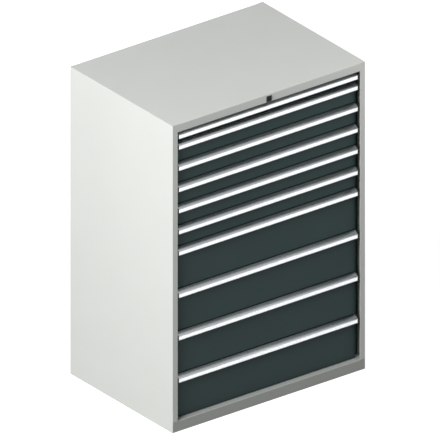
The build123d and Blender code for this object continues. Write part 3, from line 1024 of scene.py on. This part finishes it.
def tray_rails(name, sizes, front, rear, low):
    """The two rails on a tray's walls, open towards the slides."""
    bottom = low + sizes.rail_lift
    top = bottom + sizes.rail_height
    web = sizes.half_width
    edge = web + sizes.rail_flange
    sheet = sizes.rail_sheet
    outline = [
        (edge, bottom),
        (web, bottom),
        (web, top),
        (edge, top),
        (edge, top - sheet),
        (web + sheet, top - sheet),
        (web + sheet, bottom + sheet),
        (edge, bottom + sheet),
    ]
    right = extrusion("rail", outline, "Y", front + sizes.corner, rear)
    soften(right, rail_edge, 2)
    rails = merge(name, [right, mirrored(right, "rail_left")])
    smooth(rails)
    return rails


class CABINET_OT_trays(bpy.types.Operator):
    """Model the slotted drawer trays and the rails on their walls"""

    bl_idname = "cabinet.trays"
    bl_label = "Drawer trays"

    def execute(self, context):
        sizes = context.scene.cabinet_trays
        masters = {}
        rails = tray_rails("tray_rails", sizes, first_tray_low.y, first_tray_high.y, first_tray_low.z)
        for name in drawer_names:
            low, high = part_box(f"{name}_tray")
            height = round(high.z - low.z, 4)
            if height not in masters:
                shell = tray_shell(f"tray_{len(masters)}", sizes, low.y, high.y, low.z, high.z)
                masters[height] = (shell, low.z)
            shell, made_at = masters[height]
            tray = copied(shell, f"{name}_tray_shell", low.z - made_at)
            finish_piece(tray, surface("drawer_grey"), "drawer_grey", name, f"{name}_tray")
            pair = copied(rails, f"{name}_tray_rails", low.z - first_tray_low.z)
            finish_piece(pair, surface("zinc_steel"), "zinc_steel", name, f"{name}_tray")
        for piece in [rails, *(shell for shell, made_at in masters.values())]:
            bpy.data.objects.remove(piece)
        return {"FINISHED"}


class CABINET_OT_lock_face(bpy.types.Operator):
    """Model the square lock face with its collar and barrel"""

    bl_idname = "cabinet.lock_face"
    bl_label = "Lock face"

    def execute(self, context):
        centre = (lock_low + lock_high) / 2
        half = lock_high.x
        front = lock_low.y
        rear = frame_front()
        outline = rounded_rectangle((-half, centre.z - half), (half, centre.z + half), lock_corner)
        face = extrusion("lock_face", outline, "Y", front, rear)
        soften(face, lock_face_edge, 3, 60)
        bore = (plug_high.x - plug_low.x) / 2 + plug_play
        collar = self.disc("lock_collar", collar_radius, plug_low.y, rear, centre.z)
        soften(collar, collar_edge, 2, 60)
        barrel = self.disc("lock_barrel", barrel_radius, rear - join_overlap, lock_high.y, centre.z)
        cut = (front - cut_overlap, lock_high.y + cut_overlap)
        cutter = self.disc("lock_bore", bore, *cut, centre.z)
        for other in (collar, barrel):
            modify(face, "BOOLEAN", operation="UNION", object=other, solver="EXACT")
        modify(face, "BOOLEAN", operation="DIFFERENCE", object=cutter, solver="EXACT")
        for other in (collar, barrel, cutter):
            bpy.data.objects.remove(other)
        smooth(face)
        finish_piece(face, surface("black_plastic"), "black_plastic", "housing", "lock_housing")
        return {"FINISHED"}

    @staticmethod
    def disc(name, radius, start, end, height):
        """A round bar from front to rear."""
        deselect()
        bpy.ops.mesh.primitive_cylinder_add(
            vertices=64,
            radius=radius,
            depth=end - start,
            location=(0, (start + end) / 2, height),
            rotation=(math.pi / 2, 0, 0),
        )
        piece = bpy.context.object
        piece.name = name
        settle(piece)
        return piece


class CABINET_OT_weld_marks(bpy.types.Operator):
    """Model the rows of spot-weld marks on the rear flanges"""

    bl_idname = "cabinet.weld_marks"
    bl_label = "Weld marks"

    def execute(self, context):
        sizes = context.scene.cabinet_welds
        low, high = cad_box
        side = high.x - sizes.from_side
        top = high.z - sizes.from_top
        rows = round((top - 2 * sizes.end_gap) / sizes.pitch)
        columns = round(2 * (side - sizes.end_gap) / sizes.pitch)
        places = []
        for step in range(rows + 1):
            height = sizes.end_gap + (top - 2 * sizes.end_gap) * step / rows
            places += [(-side, height), (side, height)]
        for step in range(columns + 1):
            across = 2 * (side - sizes.end_gap) * step / columns - (side - sizes.end_gap)
            places.append((across, top))
        master = self.mark(sizes, high.y)
        marks = [copied(master, "weld_mark", height, across) for across, height in places]
        bpy.data.objects.remove(master)
        piece = merge("rear_weld_marks", marks)
        smooth(piece, 60)
        finish_piece(piece, surface("housing_grey"), "housing_grey", "housing")
        return {"FINISHED"}

    @staticmethod
    def mark(sizes, rear):
        """One shallow round mark with a dished middle, half sunk in the rear face."""
        deselect()
        bpy.ops.mesh.primitive_cylinder_add(
            vertices=20,
            radius=sizes.radius,
            depth=2 * sizes.height,
            location=(0, rear, 0),
            rotation=(math.pi / 2, 0, 0),
        )
        piece = bpy.context.object
        settle(piece)
        bpy.ops.object.mode_set(mode="EDIT")
        bpy.ops.mesh.select_all(action="DESELECT")
        bpy.ops.object.mode_set(mode="OBJECT")
        for face in piece.data.polygons:
            face.select = face.normal.y > 0.9
        bpy.ops.object.mode_set(mode="EDIT")
        bpy.ops.mesh.inset(thickness=sizes.radius / 4)
        bpy.ops.mesh.inset(thickness=sizes.radius / 5)
        bpy.ops.transform.translate(value=(0, -0.8 * sizes.height, 0))
        bpy.ops.object.mode_set(mode="OBJECT")
        return piece


def frame_front():
    """Front plane of the housing."""
    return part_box("right_side_panel")[0].y


def seen_rays(tree):
    """One for rays that show the surroundings: from the camera, from gloss and through glass."""
    path = add_node(tree, "LightPath").outputs
    either = maths(tree, "MAXIMUM", path["Is Camera Ray"], path["Is Glossy Ray"])
    return maths(tree, "MAXIMUM", either, path["Is Transmission Ray"])


def floor_material():
    """Pale floor that shows white with the cabinet's shadow on it."""
    material = bpy.data.materials.new("pale_floor")
    material.use_nodes = True
    tree = material.node_tree
    tree.nodes.clear()
    place = add_node(tree, "TexCoord").outputs["Object"]
    clouds = add_node(tree, "TexNoise", Vector=place, Scale=1.2, Detail=3.0)
    shade = ramp(tree, clouds.outputs["Fac"], 0.3, 0.7, 0.985, 1.0)
    bounce = add_node(tree, "BsdfDiffuse", Color=(0.12, 0.12, 0.12, 1))
    shown = add_node(tree, "BsdfDiffuse", Color=shaded(tree, (0.42, 0.42, 0.42, 1), shade))
    glow = add_node(tree, "Emission", Color=(1, 1, 1, 1), Strength=0.84)
    white = add_node(tree, "AddShader")
    tree.links.new(shown.outputs[0], white.inputs[0])
    tree.links.new(glow.outputs[0], white.inputs[1])
    mixed = add_node(tree, "MixShader")
    tree.links.new(seen_rays(tree), mixed.inputs["Fac"])
    tree.links.new(bounce.outputs[0], mixed.inputs[1])
    tree.links.new(white.outputs[0], mixed.inputs[2])
    out = add_node(tree, "OutputMaterial")
    tree.links.new(mixed.outputs[0], out.inputs["Surface"])
    return material


def light_world(ambient):
    """Even light from all round, white where it is seen."""
    world = bpy.data.worlds.new("studio")
    bpy.context.scene.world = world
    world.use_nodes = True
    tree = world.node_tree
    tree.nodes.clear()
    light = add_node(tree, "Background", Color=(1, 1, 1, 1), Strength=ambient)
    white = add_node(tree, "Background", Color=(1, 1, 1, 1), Strength=1.0)
    mixed = add_node(tree, "MixShader")
    tree.links.new(seen_rays(tree), mixed.inputs["Fac"])
    tree.links.new(light.outputs[0], mixed.inputs[1])
    tree.links.new(white.outputs[0], mixed.inputs[2])
    out = add_node(tree, "OutputWorld")
    tree.links.new(mixed.outputs[0], out.inputs["Surface"])


def lamp(name, place, aim, size, power):
    """A square lamp that points at a place."""
    deselect()
    bpy.ops.object.light_add(type="AREA", location=place)
    made = bpy.context.object
    made.name = name
    made.data.shape = "SQUARE"
    made.data.size = size
    made.data.energy = power
    made.rotation_euler = (Vector(aim) - Vector(place)).to_track_quat("-Z", "Y").to_euler()


class CABINET_OT_studio(bpy.types.Operator):
    """Make the floor, the lamps and the camera"""

    bl_idname = "cabinet.studio"
    bl_label = "Studio"

    def execute(self, context):
        studio = context.scene.cabinet_studio
        deselect()
        bpy.ops.mesh.primitive_plane_add(size=2 * studio.floor_half, location=(0, 0, -floor_drop))
        floor = context.object
        floor.name = "floor"
        settle(floor)
        floor.data.materials.append(floor_material())
        light_world(studio.ambient)
        low, high = cad_box
        centre = (low + high) / 2
        lamp("key_lamp", centre + key_place, centre, large_lamp, studio.key_power)
        lamp("rear_lamp", centre + rear_place, centre, large_lamp, studio.rear_power)
        lamp("fill_lamp", centre + fill_place, centre + fill_aim, small_lamp, studio.fill_power)
        self.make_camera(context, studio, centre)
        context.scene.view_settings.view_transform = "Standard"
        return {"FINISHED"}

    @staticmethod
    def make_camera(context, studio, centre):
        """Camera at the photograph's angle, with parallel projection."""
        turn, rise = studio.azimuth, studio.elevation
        away = Vector((math.sin(turn) * math.cos(rise), -math.cos(turn) * math.cos(rise), math.sin(rise)))
        right = Vector((math.cos(turn), math.sin(turn), 0))
        up = away.cross(right)
        aim = centre + right * studio.aim_right - up * studio.aim_down
        deselect()
        bpy.ops.object.camera_add(location=aim + away * camera_distance)
        camera = context.object
        camera.name = "camera"
        camera.rotation_euler = away.to_track_quat("Z", "Y").to_euler()
        camera.data.type = "ORTHO"
        camera.data.ortho_scale = studio.view_width
        camera.data.clip_end = camera_reach
        context.scene.camera = camera


class CABINET_PT_panel(bpy.types.Panel):
    """Sizes, colours and steps of the drawer cabinet"""

    bl_label = "Drawer cabinet"
    bl_idname = "CABINET_PT_panel"
    bl_space_type = "VIEW_3D"
    bl_region_type = "UI"
    bl_category = "Cabinet"

    def draw(self, context):
        scene = context.scene
        for group in settings_classes:
            settings = getattr(scene, group)
            box = self.layout.box()
            for name in settings.__annotations__:
                box.prop(settings, name)
        for step in steps:
            self.layout.operator(step.bl_idname)


settings_classes = {
    "cabinet_finishes": CabinetFinishes,
    "cabinet_handles": HandleSizes,
    "cabinet_trays": TraySizes,
    "cabinet_welds": WeldMarkSizes,
    "cabinet_studio": StudioSettings,
}
steps = (
    CABINET_OT_finishes,
    CABINET_OT_handles,
    CABINET_OT_trays,
    CABINET_OT_lock_face,
    CABINET_OT_weld_marks,
    CABINET_OT_studio,
)


def register():
    """Registers the classes and their settings."""
    for name, settings in settings_classes.items():
        bpy.utils.register_class(settings)
        setattr(bpy.types.Scene, name, bpy.props.PointerProperty(type=settings))
    for made in (*steps, CABINET_PT_panel):
        bpy.utils.register_class(made)


def unregister():
    """Takes the classes and their settings out again."""
    for made in reversed((*steps, CABINET_PT_panel)):
        bpy.utils.unregister_class(made)
    for name, settings in settings_classes.items():
        delattr(bpy.types.Scene, name)
        bpy.utils.unregister_class(settings)


def main():
    """Makes the cabinet's looks and its studio."""
    register()
    bpy.ops.cabinet.finishes()
    bpy.ops.cabinet.handles()
    bpy.ops.cabinet.trays()
    bpy.ops.cabinet.lock_face()
    bpy.ops.cabinet.weld_marks()
    bpy.ops.cabinet.studio()


if __name__ == "__main__":
    main()
